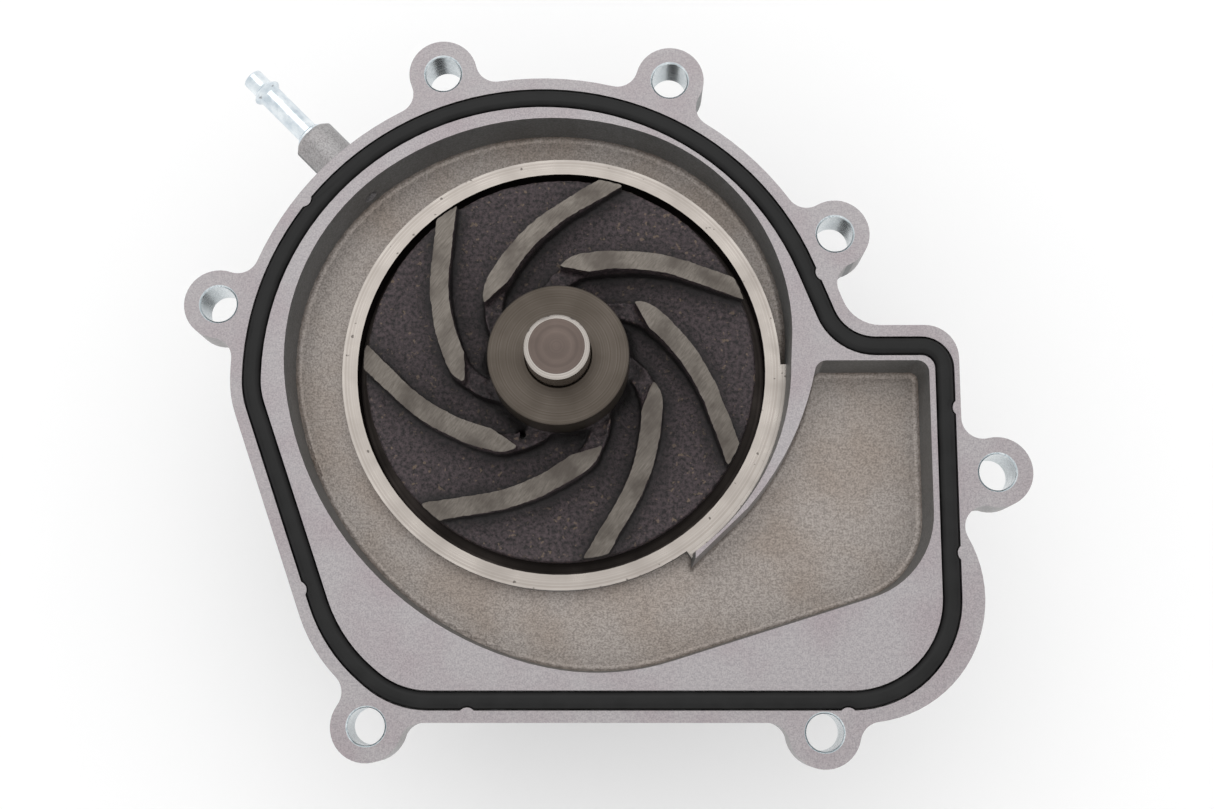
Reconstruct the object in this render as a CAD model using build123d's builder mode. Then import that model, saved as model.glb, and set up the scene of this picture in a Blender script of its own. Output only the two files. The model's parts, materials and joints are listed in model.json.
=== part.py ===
from build123d import *
import math
import os

# Engine coolant pump. Millimetres. The origin is the shaft axis at the mounting face.
# +Z points out of that face, towards the engine block. The belt pulley is at the low end.

os.makedirs("parts", exist_ok=True)

# ---------------------------------------------------------------- driving sizes
# Impeller and the machined ring that it runs in. The spiral and the flange grow with the ring.
impeller_radius = 49.2
impeller_gap = 2.8
ring_inner_radius = impeller_radius + impeller_gap
ring_width = 3.9
ring_outer_radius = ring_inner_radius + ring_width
ring_top = -10.0
recess_floor = -17.0
back_wall = 5.0

# Rubber seal and its groove. The nubs hold the seal in the groove while the pump is fitted.
groove_width = 4.8
groove_depth = 3.4
seal_play = 0.5
seal_width = groove_width - seal_play
seal_height = 4.2
nub_radius = 2.2
nub_reach = 0.75
nub_gap = 0.1
# Places of the nubs, as shares of the way round the groove's outer wall.
nub_places = [0.018, 0.3045, 0.4908, 0.5895, 0.754, 0.8518, 0.9163]

# Flange. Its outline, the seal groove and the chambers all follow one seal line.
flange_thickness = 11.0
lug_thickness = 12.0
bolt_hole_radius = 4.5
lug_wall = 4.2
lug_radius = bolt_hole_radius + lug_wall
hole_chamfer = 0.45
edge_chamfer = 0.5

# The seal line: a big arc about arc_center, then straight sides with rounded corners.
# Each side is given by the direction of its normal and its distance from arc_center.
arc_center = (-4.9, -2.85)
seal_arc_radius = ring_outer_radius + 16.1
shoulder_angle = 22.0
shelf_distance = 7.0
right_distance = ring_outer_radius + 44.75
bottom_distance = ring_outer_radius + 24.2
facet_angle = 230.0
facet_distance = ring_outer_radius + 27.5
slant_angle = 199.4
slant_distance = ring_outer_radius + 13.5

# Flange land outside the seal groove: all round, and on the right side.
rim_land = 2.9
rim_land_right = 1.25
rim_width = groove_width / 2 + rim_land
rim_right = groove_width / 2 + rim_land_right
swell_radius = 30.3
swell_inset = 26.05

# Bolt lugs on the big arc: angle about arc_center, and land between seal groove and hole.
arc_lugs = [(107.9, 3.75), (66.84, 4.47), (25.8, 3.53), (167.4, 4.0)]
# The other lugs: land between groove and hole, and distance along the side. The right lug is
# measured down from the shelf, the corner lug from the right side, the bottom one from arc_center.
right_lug_land = 5.25
right_lug_drop = 31.75
corner_lug_land = 0.7
corner_lug_shift = 31.65
bottom_lug_land = -0.75
bottom_lug_shift = 41.3
neck_radius = 5.2

# Spiral chamber, outlet chamber and tongue.
chamber_depth = 14.5
floor_fillet = 1.5
wall_draft = 2.5
casting_wall = 4.5
# The spiral starts beside the ring and is a chain of arcs: radius beyond the ring's, and turn.
volute_gap = 2.2
volute_start_angle = 8.034
volute_arcs = [(-1.2, 71.0), (16.5, 54.0), (2.9, 63.4), (27.0, 70.2), (5.3, 28.8)]
outlet_corner_radius = 21.8
outlet_corner_turn = 72.6
land_right = groove_width / 2 + 1.45
land_shelf = groove_width / 2 + 1.25
chamber_corner_radius = 3.0
tongue_gap = 1.8
tongue_width = 1.4
tongue_root = 8.1
tongue_bend = (5.16, -16.65)
tongue_straight = (3.0, -38.3)
tongue_tip_angle = -55.5
throat_angle = 1.5
throat_overlap = 0.3

# Impeller plate, vanes and hub.
plate_top = -6.0
plate_thickness = 5.0
vane_count = 7
vane_tip_height = 3.2
vane_tip_radius = 24.0
vane_fall = 0.2
vane_setback = 0.1
ridge_height = 3.5
hub_flare = 4.0
hub_radius = 17.4
hub_top = 10.2
relief_radius = 1.5
relief_distance = 20.3
relief_angle = -118.5

# Shaft, all diameters of the stock integral bearing shaft.
impeller_seat_radius = 7.959
shaft_radius = 9.48
shaft_end = 20.3
shaft_chamfer = 1.2

# Shaft bearing, stock size 38.1 by 38.9.
bearing_radius = 19.05
bearing_length = 38.9
bearing_front = -35.0
race_radius = 15.23
ball_radius = 3.15
ball_count = 9
ball_pitch_radius = 12.055
ball_offset = 10.0
roller_radius = 2.72
roller_length = 10.5
roller_count = 10
roller_offset = 27.0
roll_gap = 0.03
cage_thickness = 1.3
cage_play = 0.12
circlip_gap = 8.0
bearing_seal_depth = 2.2
lip_gap = 0.07

# Shaft seal.
seal_bore_radius = 18.3
seal_bore_depth = 11.0
case_thickness = 0.8
mating_ring_thickness = 3.5
mating_ring_radius = 13.6
mating_ring_chamfer = 0.3
mating_bore_radius = 9.6
boot_wall = 1.7
film_gap = 0.2
counterbore_depth = 4.0
carbon_length = 5.0
spring_wire_radius = 0.6
spring_turns = 3
bellows_wall = 1.2
bellows_foot = 3.6
case_rim = 2.2
slinger_wall = 1.6
slinger_disc = 1.8
slinger_height = 3.0
drain_radius = 16.0
weep_radius = 2.5

# Bearing boss on the housing.
boss_wall = 6.0
boss_end_land = 4.0
circlip_thickness = 1.5
circlip_groove_depth = 1.3
rib_count = 6
rib_thickness = 5.0
rib_root = 2.0
rib_edge = 2.0
rib_foot = 14.0
back_slope = 3.0
boss_shoulder = 6.0
boss_neck = 10.0
boss_chamfer = 1.0

# Nipple on the flange's edge.
nipple_angle = 134.7
nipple_place_angle = 133.01
nipple_reach = 16.55
nipple_height = -9.0
nipple_boss_radius = 5.8
nipple_tube_radius = 3.0
nipple_bore_radius = 2.0
nipple_bead_radius = 3.9
nipple_length = 23.0
nipple_insert = 9.0
nipple_boss_length = 17.4
nipple_boss_chamfer = 1.0
nipple_passage = 28.0
nipple_collar = 1.2
nipple_bead_place = 4.5
nipple_bead_length = 2.6
nipple_bead_chamfer = 0.7
nipple_end_radius = 2.75
nipple_end_chamfer = 0.4

# Drive side.
hub_gap = 3.0
drive_hub_radius = 30.0
drive_hub_neck_radius = 15.0
drive_hub_neck = 9.0
drive_flange_thickness = 6.0
spigot_radius = 13.0
spigot_height = 3.0
pulley_radius = 54.5
pulley_rim_wall = 3.2
pulley_web = 3.5
pulley_width = 27.0
belt_rib_pitch = 3.56
belt_rib_depth = 2.6
belt_ribs = 6
belt_rib_crown = 0.4
pulley_break = 0.8
bolt_circle_radius = 22.0
pulley_bolt_count = 4
pulley_bolt_radius = 4.0
bolt_head_height = 5.3
bolt_head_across = 13.0
pulley_foot = 4.5
web_rise = 5.0
web_land = 3.0
fit_gap = 0.03
bolt_play = 0.3
bolt_washer_radius = 8.5
bolt_washer_thickness = 1.6

# ---------------------------------------------------------------- outlines
def side_corner(side_a, side_b):
    """Where two sides cross, each given as (normal angle, distance from arc_center)."""
    a1, d1 = math.radians(side_a[0]), side_a[1]
    a2, d2 = math.radians(side_b[0]), side_b[1]
    turn = math.sin(a2 - a1)
    x = (d1 * math.sin(a2) - d2 * math.sin(a1)) / turn
    y = (d2 * math.cos(a1) - d1 * math.cos(a2)) / turn
    return (arc_center[0] + x, arc_center[1] + y)


def rounded_outline(rim, right_rim, radii):
    """Sketch face of the seal line moved outwards by rim. radii round the six corners in turn."""
    arc_radius = seal_arc_radius + rim
    sides = [
        (shoulder_angle, arc_radius),
        (90.0, shelf_distance + rim),
        (0.0, right_distance + right_rim),
        (270.0, bottom_distance + rim),
        (facet_angle, facet_distance + rim),
        (slant_angle, slant_distance + rim),
        (180.0, arc_radius),
    ]
    corners = [side_corner(sides[i], sides[i + 1]) for i in range(len(sides) - 1)]
    with BuildSketch(mode=Mode.PRIVATE) as outline:
        with BuildLine():
            big_arc = CenterArc(arc_center, arc_radius, shoulder_angle, 180.0 - shoulder_angle)
            Polyline(big_arc @ 0, *corners, big_arc @ 1)
        make_face()
        for corner, radius in zip(corners, radii):
            fillet(outline.vertices().sort_by_distance(corner)[0], radius)
    return outline.sketch


seal_face = rounded_outline(0, 0, (13.2, 5.7, 24.9, 22.0, 40.0, 22.0))
flange_face = rounded_outline(rim_width, rim_right, (9.9, 8.3, 30.0, 8.0, 40.0, 28.0))
seal_right = arc_center[0] + right_distance
seal_bottom = arc_center[1] - bottom_distance
seal_shelf = arc_center[1] + shelf_distance
lug_reach = bolt_hole_radius + groove_width / 2
swell_center = (seal_right + rim_right - swell_inset, seal_bottom - rim_width + swell_radius)

lugs = [
    (
        arc_center[0] + (seal_arc_radius + lug_reach + land) * math.cos(math.radians(angle)),
        arc_center[1] + (seal_arc_radius + lug_reach + land) * math.sin(math.radians(angle)),
    )
    for angle, land in arc_lugs
]
lugs.append((seal_right + lug_reach + right_lug_land, seal_shelf - right_lug_drop))
lugs.append((seal_right - corner_lug_shift, seal_bottom - lug_reach - corner_lug_land))
lugs.append((arc_center[0] - bottom_lug_shift, seal_bottom - lug_reach - bottom_lug_land))

# Inside edge of the chambers at the mounting face: spiral, outlet chamber and tongue.
chamber_right = seal_right - land_right
chamber_shelf = seal_shelf - land_shelf
tongue_inner_radius = ring_outer_radius + tongue_gap


def polar(radius, angle):
    """Point at this radius and angle about the shaft axis."""
    return (radius * math.cos(math.radians(angle)), radius * math.sin(math.radians(angle)))


def circles_of(piece, radius):
    """Full round edges of this radius on a piece that is being built."""
    return piece.edges().filter_by(lambda edge: abs(edge.length - math.tau * radius) < 0.01)


with BuildSketch() as chamber:
    with BuildLine():
        wall_start = ring_outer_radius + volute_gap
        wall_rise = wall_start * math.tan(math.radians(volute_start_angle))
        wall = Line(polar(tongue_inner_radius, 0), (wall_start, wall_rise))
        heading = Vector(0, 1)
        for growth, turn in volute_arcs:
            wall = JernArc(wall @ 1, heading, ring_outer_radius + growth, turn)
            heading = wall % 1
        reach = (chamber_right - outlet_corner_radius * (1 - heading.Y) - (wall @ 1).X) / heading.X
        bottom_run = Line(wall @ 1, (wall @ 1) + heading * reach)
        outlet_turn = math.degrees(math.acos(heading.Y))
        outlet_corner = JernArc(bottom_run @ 1, heading, outlet_corner_radius, outlet_turn)
        shelf_run = Polyline(
            outlet_corner @ 1,
            (chamber_right, chamber_shelf),
            (ring_outer_radius + tongue_root, chamber_shelf),
        )
        bend = polar(ring_outer_radius + tongue_bend[0], tongue_bend[1])
        straight = polar(ring_outer_radius + tongue_straight[0], tongue_straight[1])
        tongue_side = ThreePointArc(shelf_run @ 1, bend, straight)
        tip = polar(tongue_inner_radius + tongue_width, tongue_tip_angle)
        Line(tongue_side @ 1, tip)
        inner_side = CenterArc((0, 0), tongue_inner_radius, 0, tongue_tip_angle + 1.0)
        Line(tip, inner_side @ 1)
    make_face()
    for corner in ((chamber_right, chamber_shelf), (ring_outer_radius + tongue_root, chamber_shelf)):
        fillet(chamber.vertices().sort_by_distance(corner)[0], chamber_corner_radius)

# ---------------------------------------------------------------- levels along the shaft
belly_back = -chamber_depth - casting_wall
recess_back = recess_floor - back_wall
bearing_back = bearing_front - bearing_length
boss_radius = bearing_radius + boss_wall
boss_end = bearing_back - boss_end_land
weep_reach = boss_radius + boss_neck
seal_bore_floor = recess_floor - seal_bore_depth
drain_level = (seal_bore_floor + bearing_front) / 2
plate_back = plate_top - plate_thickness
drive_hub_top = boss_end - hub_gap
drive_flange_top = drive_hub_top - drive_hub_neck
drive_face = drive_flange_top - drive_flange_thickness
shaft_low = drive_face - 1.0
shaft_step = bearing_front + 2.0
web_face = drive_face - pulley_web
pulley_low = web_face - bolt_washer_thickness - bolt_head_height - pulley_foot
pulley_high = pulley_low + pulley_width
ball_level = bearing_front - ball_offset
roller_level = bearing_front - roller_offset

# ---------------------------------------------------------------- flange seal groove and nubs
with BuildSketch() as groove:
    offset(seal_face, groove_width / 2)
    offset(seal_face, -groove_width / 2, mode=Mode.SUBTRACT)
groove_wall = offset(seal_face, groove_width / 2, mode=Mode.PRIVATE).wires()[0]
nub_centers = []
for place in nub_places:
    foot = groove_wall.position_at(place)
    outward = groove_wall.tangent_at(place).rotate(Axis.Z, 90)
    if outward.dot(foot - Vector(*arc_center)) < 0:
        outward = -outward
    nub_centers.append(foot + outward * (nub_radius - nub_reach))
with BuildSketch() as nub_tips:
    with Locations(*nub_centers):
        Circle(nub_radius)

with BuildPart() as flange_seal:
    with BuildSketch(Plane.XY.offset(-groove_depth)):
        offset(seal_face, seal_width / 2)
        offset(seal_face, -seal_width / 2, mode=Mode.SUBTRACT)
        with Locations(*nub_centers):
            Circle(nub_radius + nub_gap, mode=Mode.SUBTRACT)
    extrude(amount=seal_height)
flange_seal.part.label = "flange_seal"
export_step(flange_seal.part, "parts/flange_seal.step")

# ---------------------------------------------------------------- pump housing
nipple_axis = Vector(*polar(1, nipple_angle))
nipple_mouth = Vector(*polar(seal_arc_radius + nipple_reach, nipple_place_angle), nipple_height)
nipple_mouth += Vector(*arc_center)
nipple_plane = Plane(origin=nipple_mouth, z_dir=nipple_axis)

with BuildSketch() as flange:
    add(flange_face)
    with Locations(swell_center):
        Circle(swell_radius)
    with Locations(*lugs):
        Circle(lug_radius)
    # Growing the outline and shrinking it back rounds the necks of the lugs and nothing else.
    offset(amount=neck_radius)
    offset(amount=-neck_radius)

with BuildPart() as rib:
    with BuildSketch(Plane.XZ):
        with BuildLine():
            Polyline(
                (boss_radius - rib_root, belly_back),
                (ring_outer_radius, belly_back),
                (ring_outer_radius, belly_back - rib_edge),
                (boss_radius, boss_end + rib_foot),
                (boss_radius - rib_root, boss_end + rib_foot),
                close=True,
            )
        make_face()
    extrude(amount=rib_thickness / 2, both=True)

with BuildPart() as chamber_space:
    add(chamber.sketch)
    extrude(amount=-chamber_depth, taper=wall_draft)
    fillet(chamber_space.edges().group_by(Axis.Z)[0], floor_fillet)

with BuildPart() as pump_housing:
    add(flange.sketch)
    extrude(amount=-flange_thickness)
    with BuildSketch():
        with Locations(*lugs):
            Circle(lug_radius)
    extrude(amount=-lug_thickness)
    with BuildSketch(Plane.XY.offset(-flange_thickness)) as belly:
        add(chamber.sketch)
        Circle(tongue_inner_radius + tongue_width + 1)
        offset(amount=casting_wall)
    extrude(amount=belly_back + flange_thickness)
    with BuildSketch(Plane.XZ):
        with BuildLine():
            Polyline(
                (0, belly_back),
                (ring_outer_radius, belly_back),
                (ring_outer_radius - back_slope, recess_back),
                (boss_radius + boss_shoulder, recess_back - back_slope),
                (boss_radius, recess_back - boss_neck),
                (boss_radius, boss_end + boss_chamfer),
                (boss_radius - boss_chamfer, boss_end),
                (0, boss_end),
                close=True,
            )
        make_face()
    revolve(axis=Axis.Z)
    with PolarLocations(0, rib_count):
        add(rib.part)
    with BuildSketch(nipple_plane):
        Circle(nipple_boss_radius)
    extrude(amount=-nipple_boss_length)
    chamfer(circles_of(pump_housing, nipple_boss_radius), nipple_boss_chamfer)
    add(chamber_space.part, mode=Mode.SUBTRACT)
    with BuildSketch(Plane.XY.offset(ring_top)):
        Circle(ring_outer_radius)
        with BuildLine():
            throat_turn = throat_angle - tongue_tip_angle
            throat = CenterArc((0, 0), tongue_inner_radius + throat_overlap, tongue_tip_angle, throat_turn)
            Line((0, 0), throat @ 0)
            Line(throat @ 1, (0, 0))
        make_face()
    extrude(amount=belly_back - ring_top)
    with BuildSketch(Plane.XY.offset(ring_top)):
        Circle(ring_inner_radius)
    extrude(amount=recess_floor - ring_top, mode=Mode.SUBTRACT)
    with BuildSketch(Plane.XY.offset(recess_floor)):
        Circle(seal_bore_radius)
    extrude(amount=-seal_bore_depth, mode=Mode.SUBTRACT)
    with BuildSketch(Plane.XY.offset(seal_bore_floor)):
        Circle(drain_radius)
    extrude(amount=bearing_front - seal_bore_floor, mode=Mode.SUBTRACT)
    with BuildSketch(Plane.XY.offset(bearing_front)):
        Circle(bearing_radius)
    extrude(amount=boss_end - bearing_front, mode=Mode.SUBTRACT)
    with BuildSketch(Plane.XY.offset(bearing_back)):
        Circle(bearing_radius + circlip_groove_depth)
    extrude(amount=-circlip_thickness - 0.1, mode=Mode.SUBTRACT)
    with BuildSketch(Plane.XZ):
        with Locations((0, drain_level)):
            Circle(weep_radius)
    extrude(amount=weep_reach, both=True, mode=Mode.SUBTRACT)
    add(groove.sketch)
    extrude(amount=-groove_depth, mode=Mode.SUBTRACT)
    with BuildSketch(Plane.XY.offset(-groove_depth)):
        add(groove.sketch)
        add(nub_tips.sketch, mode=Mode.INTERSECT)
    extrude(amount=groove_depth)
    with BuildSketch():
        with Locations(*lugs):
            Circle(bolt_hole_radius)
    extrude(amount=-lug_thickness, mode=Mode.SUBTRACT)
    chamfer(circles_of(pump_housing, bolt_hole_radius).group_by(Axis.Z)[-1], hole_chamfer)
    with BuildSketch(nipple_plane):
        Circle(nipple_tube_radius)
    extrude(amount=-nipple_insert, mode=Mode.SUBTRACT)
    with BuildSketch(nipple_plane):
        Circle(nipple_bore_radius)
    extrude(amount=-nipple_passage, mode=Mode.SUBTRACT)
pump_housing.part.label = "pump_housing"
export_step(pump_housing.part, "parts/pump_housing.step")


# ---------------------------------------------------------------- hose nipple
with BuildPart() as hose_nipple:
    with BuildSketch(nipple_plane.offset(-nipple_insert)):
        Circle(nipple_tube_radius)
    extrude(amount=nipple_insert + nipple_length - nipple_bead_place)
    with BuildSketch(nipple_plane.offset(nipple_length - nipple_bead_place)):
        Circle(nipple_bead_radius)
    extrude(amount=-nipple_bead_length)
    chamfer(circles_of(hose_nipple, nipple_bead_radius), nipple_bead_chamfer)
    with BuildSketch(nipple_plane.offset(nipple_length - nipple_bead_place)):
        Circle(nipple_end_radius)
    extrude(amount=nipple_bead_place)
    tube_end = circles_of(hose_nipple, nipple_end_radius).sort_by(Axis((0, 0, 0), nipple_axis))[-1]
    chamfer(tube_end, nipple_end_chamfer)
    with BuildSketch(nipple_plane):
        Circle(nipple_bead_radius)
    extrude(amount=nipple_collar)
    with BuildSketch(nipple_plane.offset(-nipple_insert)):
        Circle(nipple_bore_radius)
    extrude(amount=nipple_insert + nipple_length, mode=Mode.SUBTRACT)
hose_nipple.part.label = "hose_nipple"
export_step(hose_nipple.part, "parts/hose_nipple.step")


# ---------------------------------------------------------------- turned pieces
def turned(points):
    """Solid turned about the shaft axis from (radius, level) points."""
    with BuildPart(mode=Mode.PRIVATE) as blank:
        with BuildSketch(Plane.XZ):
            with BuildLine():
                Polyline(*points, close=True)
            make_face()
        revolve(axis=Axis.Z)
    return blank.part


def ring(inner, outer, low, high):
    """Plain ring about the shaft axis."""
    return turned([(inner, low), (outer, low), (outer, high), (inner, high)])


# ---------------------------------------------------------------- impeller
counterbore_radius = mating_ring_radius + boot_wall
counterbore_top = plate_back + counterbore_depth
mating_face = counterbore_top - boot_wall - mating_ring_thickness


def vane_level(radius):
    """Height of the sloping vane tops at this radius."""
    return vane_tip_height - vane_fall * (radius - vane_tip_radius)


vane_end = impeller_radius - vane_setback
with BuildPart() as vane:
    with BuildSketch(Plane.XY.offset(plate_top - 1)):
        with BuildLine():
            blade_back = Line((62.4, 16.5), (30.0, 26.7))
            crown = ThreePointArc(blade_back @ 1, (17.0, 28.5), (5.0, 27.4))
            nose = ThreePointArc(crown @ 1, (1.6, 25.9), (-0.3, 23.8))
            Line(nose @ 1, (7.5, 22.5))
            belly_side = ThreePointArc((7.5, 22.5), (18.0, 23.5), (30.0, 21.8))
            Line(belly_side @ 1, (67.0, 9.4))
            Line((67.0, 9.4), blade_back @ 0)
        make_face()
    extrude(amount=hub_top - plate_top)
    with BuildSketch(Plane.XZ):
        with BuildLine():
            Polyline(
                (hub_radius - 2, plate_top - 1),
                (vane_end, plate_top - 1),
                (vane_end, vane_level(vane_end)),
                (hub_radius - 2, vane_level(hub_radius - 2)),
                close=True,
            )
        make_face()
    revolve(axis=Axis.Z, mode=Mode.INTERSECT)
    with BuildSketch(Plane.XY.offset(plate_top - 1)):
        with BuildLine():
            ridge_back = ThreePointArc((8.0, 27.0), (-2.2, 22.6), (-6.5, 14.5))
            Line(ridge_back @ 1, (-2.0, 14.5))
            ridge_belly = ThreePointArc((-2.0, 14.5), (1.5, 19.5), (9.5, 23.2))
            Line(ridge_belly @ 1, ridge_back @ 0)
        make_face()
    extrude(amount=ridge_height + 1)

with BuildPart() as impeller:
    with BuildSketch(Plane.XZ):
        with BuildLine():
            root = Line((impeller_seat_radius, plate_back), (impeller_radius, plate_back))
            rim = Line(root @ 1, (impeller_radius, plate_top))
            plate = Line(rim @ 1, (hub_radius + hub_flare, plate_top))
            flare = ThreePointArc(
                plate @ 1,
                (hub_radius + 0.3 * hub_flare, plate_top + 0.3 * hub_flare),
                (hub_radius, plate_top + hub_flare),
            )
            Polyline(
                flare @ 1,
                (hub_radius, hub_top - edge_chamfer),
                (hub_radius - edge_chamfer, hub_top),
                (impeller_seat_radius, hub_top),
                (impeller_seat_radius, plate_back),
            )
        make_face()
    revolve(axis=Axis.Z)
    with PolarLocations(0, vane_count):
        add(vane.part)
    with BuildSketch(Plane.XY.offset(hub_top)):
        Circle(impeller_seat_radius)
    extrude(amount=plate_back - hub_top, mode=Mode.SUBTRACT)
    with BuildSketch(Plane.XY.offset(plate_back)):
        Circle(counterbore_radius)
    extrude(amount=counterbore_depth, mode=Mode.SUBTRACT)
    with BuildSketch(Plane.XY.offset(plate_back)):
        with Locations(polar(relief_distance, relief_angle)):
            Circle(relief_radius)
    extrude(amount=plate_thickness + 2 * relief_radius, mode=Mode.SUBTRACT)
impeller.part.label = "impeller"
export_step(impeller.part, "parts/impeller.step")

# ---------------------------------------------------------------- shaft and its integral bearing
groove_radius = ball_radius + roll_gap
with BuildPart() as shaft:
    add(turned([
        (0, shaft_low),
        (shaft_radius - shaft_chamfer, shaft_low),
        (shaft_radius, shaft_low + shaft_chamfer),
        (shaft_radius, shaft_step),
        (impeller_seat_radius, shaft_step),
        (impeller_seat_radius, shaft_end - shaft_chamfer),
        (impeller_seat_radius - shaft_chamfer, shaft_end),
        (0, shaft_end),
    ]))
    with BuildSketch(Plane.XZ):
        with Locations((ball_pitch_radius, ball_level)):
            Circle(groove_radius)
    revolve(axis=Axis.Z, mode=Mode.SUBTRACT)
shaft.part.label = "shaft"
export_step(shaft.part, "parts/shaft.step")

with BuildPart() as bearing_outer_ring:
    add(ring(race_radius, bearing_radius, bearing_back, bearing_front))
    with BuildSketch(Plane.XZ):
        with Locations((ball_pitch_radius, ball_level)):
            Circle(groove_radius)
    revolve(axis=Axis.Z, mode=Mode.SUBTRACT)
    chamfer(circles_of(bearing_outer_ring, bearing_radius), edge_chamfer)
bearing_outer_ring.part.label = "bearing_outer_ring"
export_step(bearing_outer_ring.part, "parts/bearing_outer_ring.step")

with BuildPart() as ball_row:
    with Locations((0, 0, ball_level)):
        with PolarLocations(ball_pitch_radius, ball_count):
            Sphere(ball_radius)
ball_row.part.label = "ball_row"
export_step(ball_row.part, "parts/ball_row.step")

cage_inner = ball_pitch_radius - cage_thickness
cage_outer = ball_pitch_radius + cage_thickness
with BuildPart() as ball_cage:
    add(ring(cage_inner, cage_outer, ball_level - ball_radius - cage_thickness, ball_level + ball_radius))
    with Locations((0, 0, ball_level)):
        with PolarLocations(ball_pitch_radius, ball_count):
            Sphere(ball_radius + cage_play, mode=Mode.SUBTRACT)
ball_cage.part.label = "ball_cage"
export_step(ball_cage.part, "parts/ball_cage.step")

roller_pitch_radius = (shaft_radius + race_radius) / 2
with BuildPart() as roller_row:
    with Locations((0, 0, roller_level)):
        with PolarLocations(roller_pitch_radius, roller_count):
            Cylinder(roller_radius, roller_length)
roller_row.part.label = "roller_row"
export_step(roller_row.part, "parts/roller_row.step")

with BuildPart() as roller_cage:
    cage_half = roller_length / 2 + cage_thickness
    add(ring(cage_inner, cage_outer, roller_level - cage_half, roller_level + cage_half))
    with Locations((0, 0, roller_level)):
        with PolarLocations(roller_pitch_radius, roller_count):
            Cylinder(roller_radius + cage_play, roller_length + 2 * cage_play, mode=Mode.SUBTRACT)
roller_cage.part.label = "roller_cage"
export_step(roller_cage.part, "parts/roller_cage.step")

lip_radius = shaft_radius + lip_gap
for name, mouth, inward in (("front", bearing_front, -1), ("rear", bearing_back, 1)):
    with BuildPart() as bearing_seal:
        add(turned([
            (race_radius, mouth + inward * 0.2),
            (race_radius, mouth + inward * bearing_seal_depth),
            (lip_radius + 1.5, mouth + inward * bearing_seal_depth),
            (lip_radius, mouth + inward * (bearing_seal_depth - 0.6)),
            (lip_radius, mouth + inward * (bearing_seal_depth - 1.0)),
            (lip_radius + 2.2, mouth + inward * 0.2),
        ]))
    bearing_seal.part.label = "bearing_seal_" + name
    export_step(bearing_seal.part, "parts/bearing_seal_" + name + ".step")

with BuildPart() as bearing_circlip:
    clip_outer = bearing_radius + circlip_groove_depth - 0.1
    add(ring(bearing_radius - 1.6, clip_outer, bearing_back - circlip_thickness, bearing_back))
    with Locations((clip_outer, 0, bearing_back)):
        Box(clip_outer, circlip_gap, 4 * circlip_thickness, mode=Mode.SUBTRACT)
bearing_circlip.part.label = "bearing_circlip"
export_step(bearing_circlip.part, "parts/bearing_circlip.step")

# ---------------------------------------------------------------- shaft seal, impeller end
with BuildPart() as slinger_ring:
    slinger_low = drain_level - 1.5
    add(turned([
        (impeller_seat_radius, slinger_low),
        (impeller_seat_radius + slinger_wall, slinger_low),
        (impeller_seat_radius + slinger_wall, slinger_low + slinger_disc),
        (drain_radius - 3, slinger_low + slinger_disc),
        (drain_radius - 2.2, slinger_low + 0.6),
        (drain_radius - 1.4, slinger_low + 0.6),
        (drain_radius - 2.2, slinger_low + slinger_height),
        (impeller_seat_radius, slinger_low + slinger_height),
    ]))
slinger_ring.part.label = "slinger_ring"
export_step(slinger_ring.part, "parts/slinger_ring.step")

case_low = seal_bore_floor + 0.5
case_inner = seal_bore_radius - case_thickness
sleeve_outer = mating_bore_radius + 1.4
sleeve_inner = sleeve_outer - case_thickness
case_lip = recess_floor + case_thickness
sleeve_top = recess_floor - 2
with BuildPart() as seal_case:
    add(turned([
        (sleeve_inner, case_low),
        (seal_bore_radius, case_low),
        (seal_bore_radius, recess_floor),
        (seal_bore_radius + case_rim, recess_floor),
        (seal_bore_radius + case_rim, case_lip),
        (case_inner, case_lip),
        (case_inner, case_low + case_thickness),
        (sleeve_outer, case_low + case_thickness),
        (sleeve_outer, sleeve_top),
        (sleeve_inner, sleeve_top),
    ]))
seal_case.part.label = "seal_case"
export_step(seal_case.part, "parts/seal_case.step")

carbon_face = mating_face - film_gap
carbon_back = carbon_face - carbon_length
with BuildPart() as carbon_ring:
    add(turned([
        (sleeve_inner, carbon_back),
        (mating_ring_radius, carbon_back),
        (mating_ring_radius, carbon_back + 2.0),
        (mating_ring_radius - 1.2, carbon_back + 2.6),
        (mating_ring_radius - 1.2, carbon_face),
        (sleeve_inner + 0.4, carbon_face),
        (sleeve_inner, carbon_face - 0.6),
    ]))
carbon_ring.part.label = "carbon_ring"
export_step(carbon_ring.part, "parts/carbon_ring.step")

bellows_low = case_low + case_thickness
with BuildPart() as seal_bellows:
    add(turned([
        (sleeve_outer, bellows_low),
        (case_inner - bellows_foot, bellows_low),
        (case_inner - bellows_foot, bellows_low + bellows_wall),
        (sleeve_outer + bellows_wall, bellows_low + bellows_wall),
        (sleeve_outer + bellows_wall, sleeve_top - 2.2),
        (mating_ring_radius, carbon_back - bellows_wall),
        (mating_ring_radius, carbon_back),
        (sleeve_outer + 0.2, carbon_back),
        (sleeve_outer, carbon_back - bellows_wall),
    ]))
seal_bellows.part.label = "seal_bellows"
export_step(seal_bellows.part, "parts/seal_bellows.step")

collar_low = carbon_back - bellows_wall
with BuildPart() as spring_collar:
    add(turned([
        (mating_ring_radius, collar_low),
        (case_inner - 0.5, collar_low),
        (case_inner - 0.5, collar_low + case_thickness),
        (mating_ring_radius + case_thickness, collar_low + case_thickness),
        (mating_ring_radius + case_thickness, carbon_back + 1.6),
        (mating_ring_radius, carbon_back + 1.6),
    ]))
spring_collar.part.label = "spring_collar"
export_step(spring_collar.part, "parts/spring_collar.step")

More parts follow.
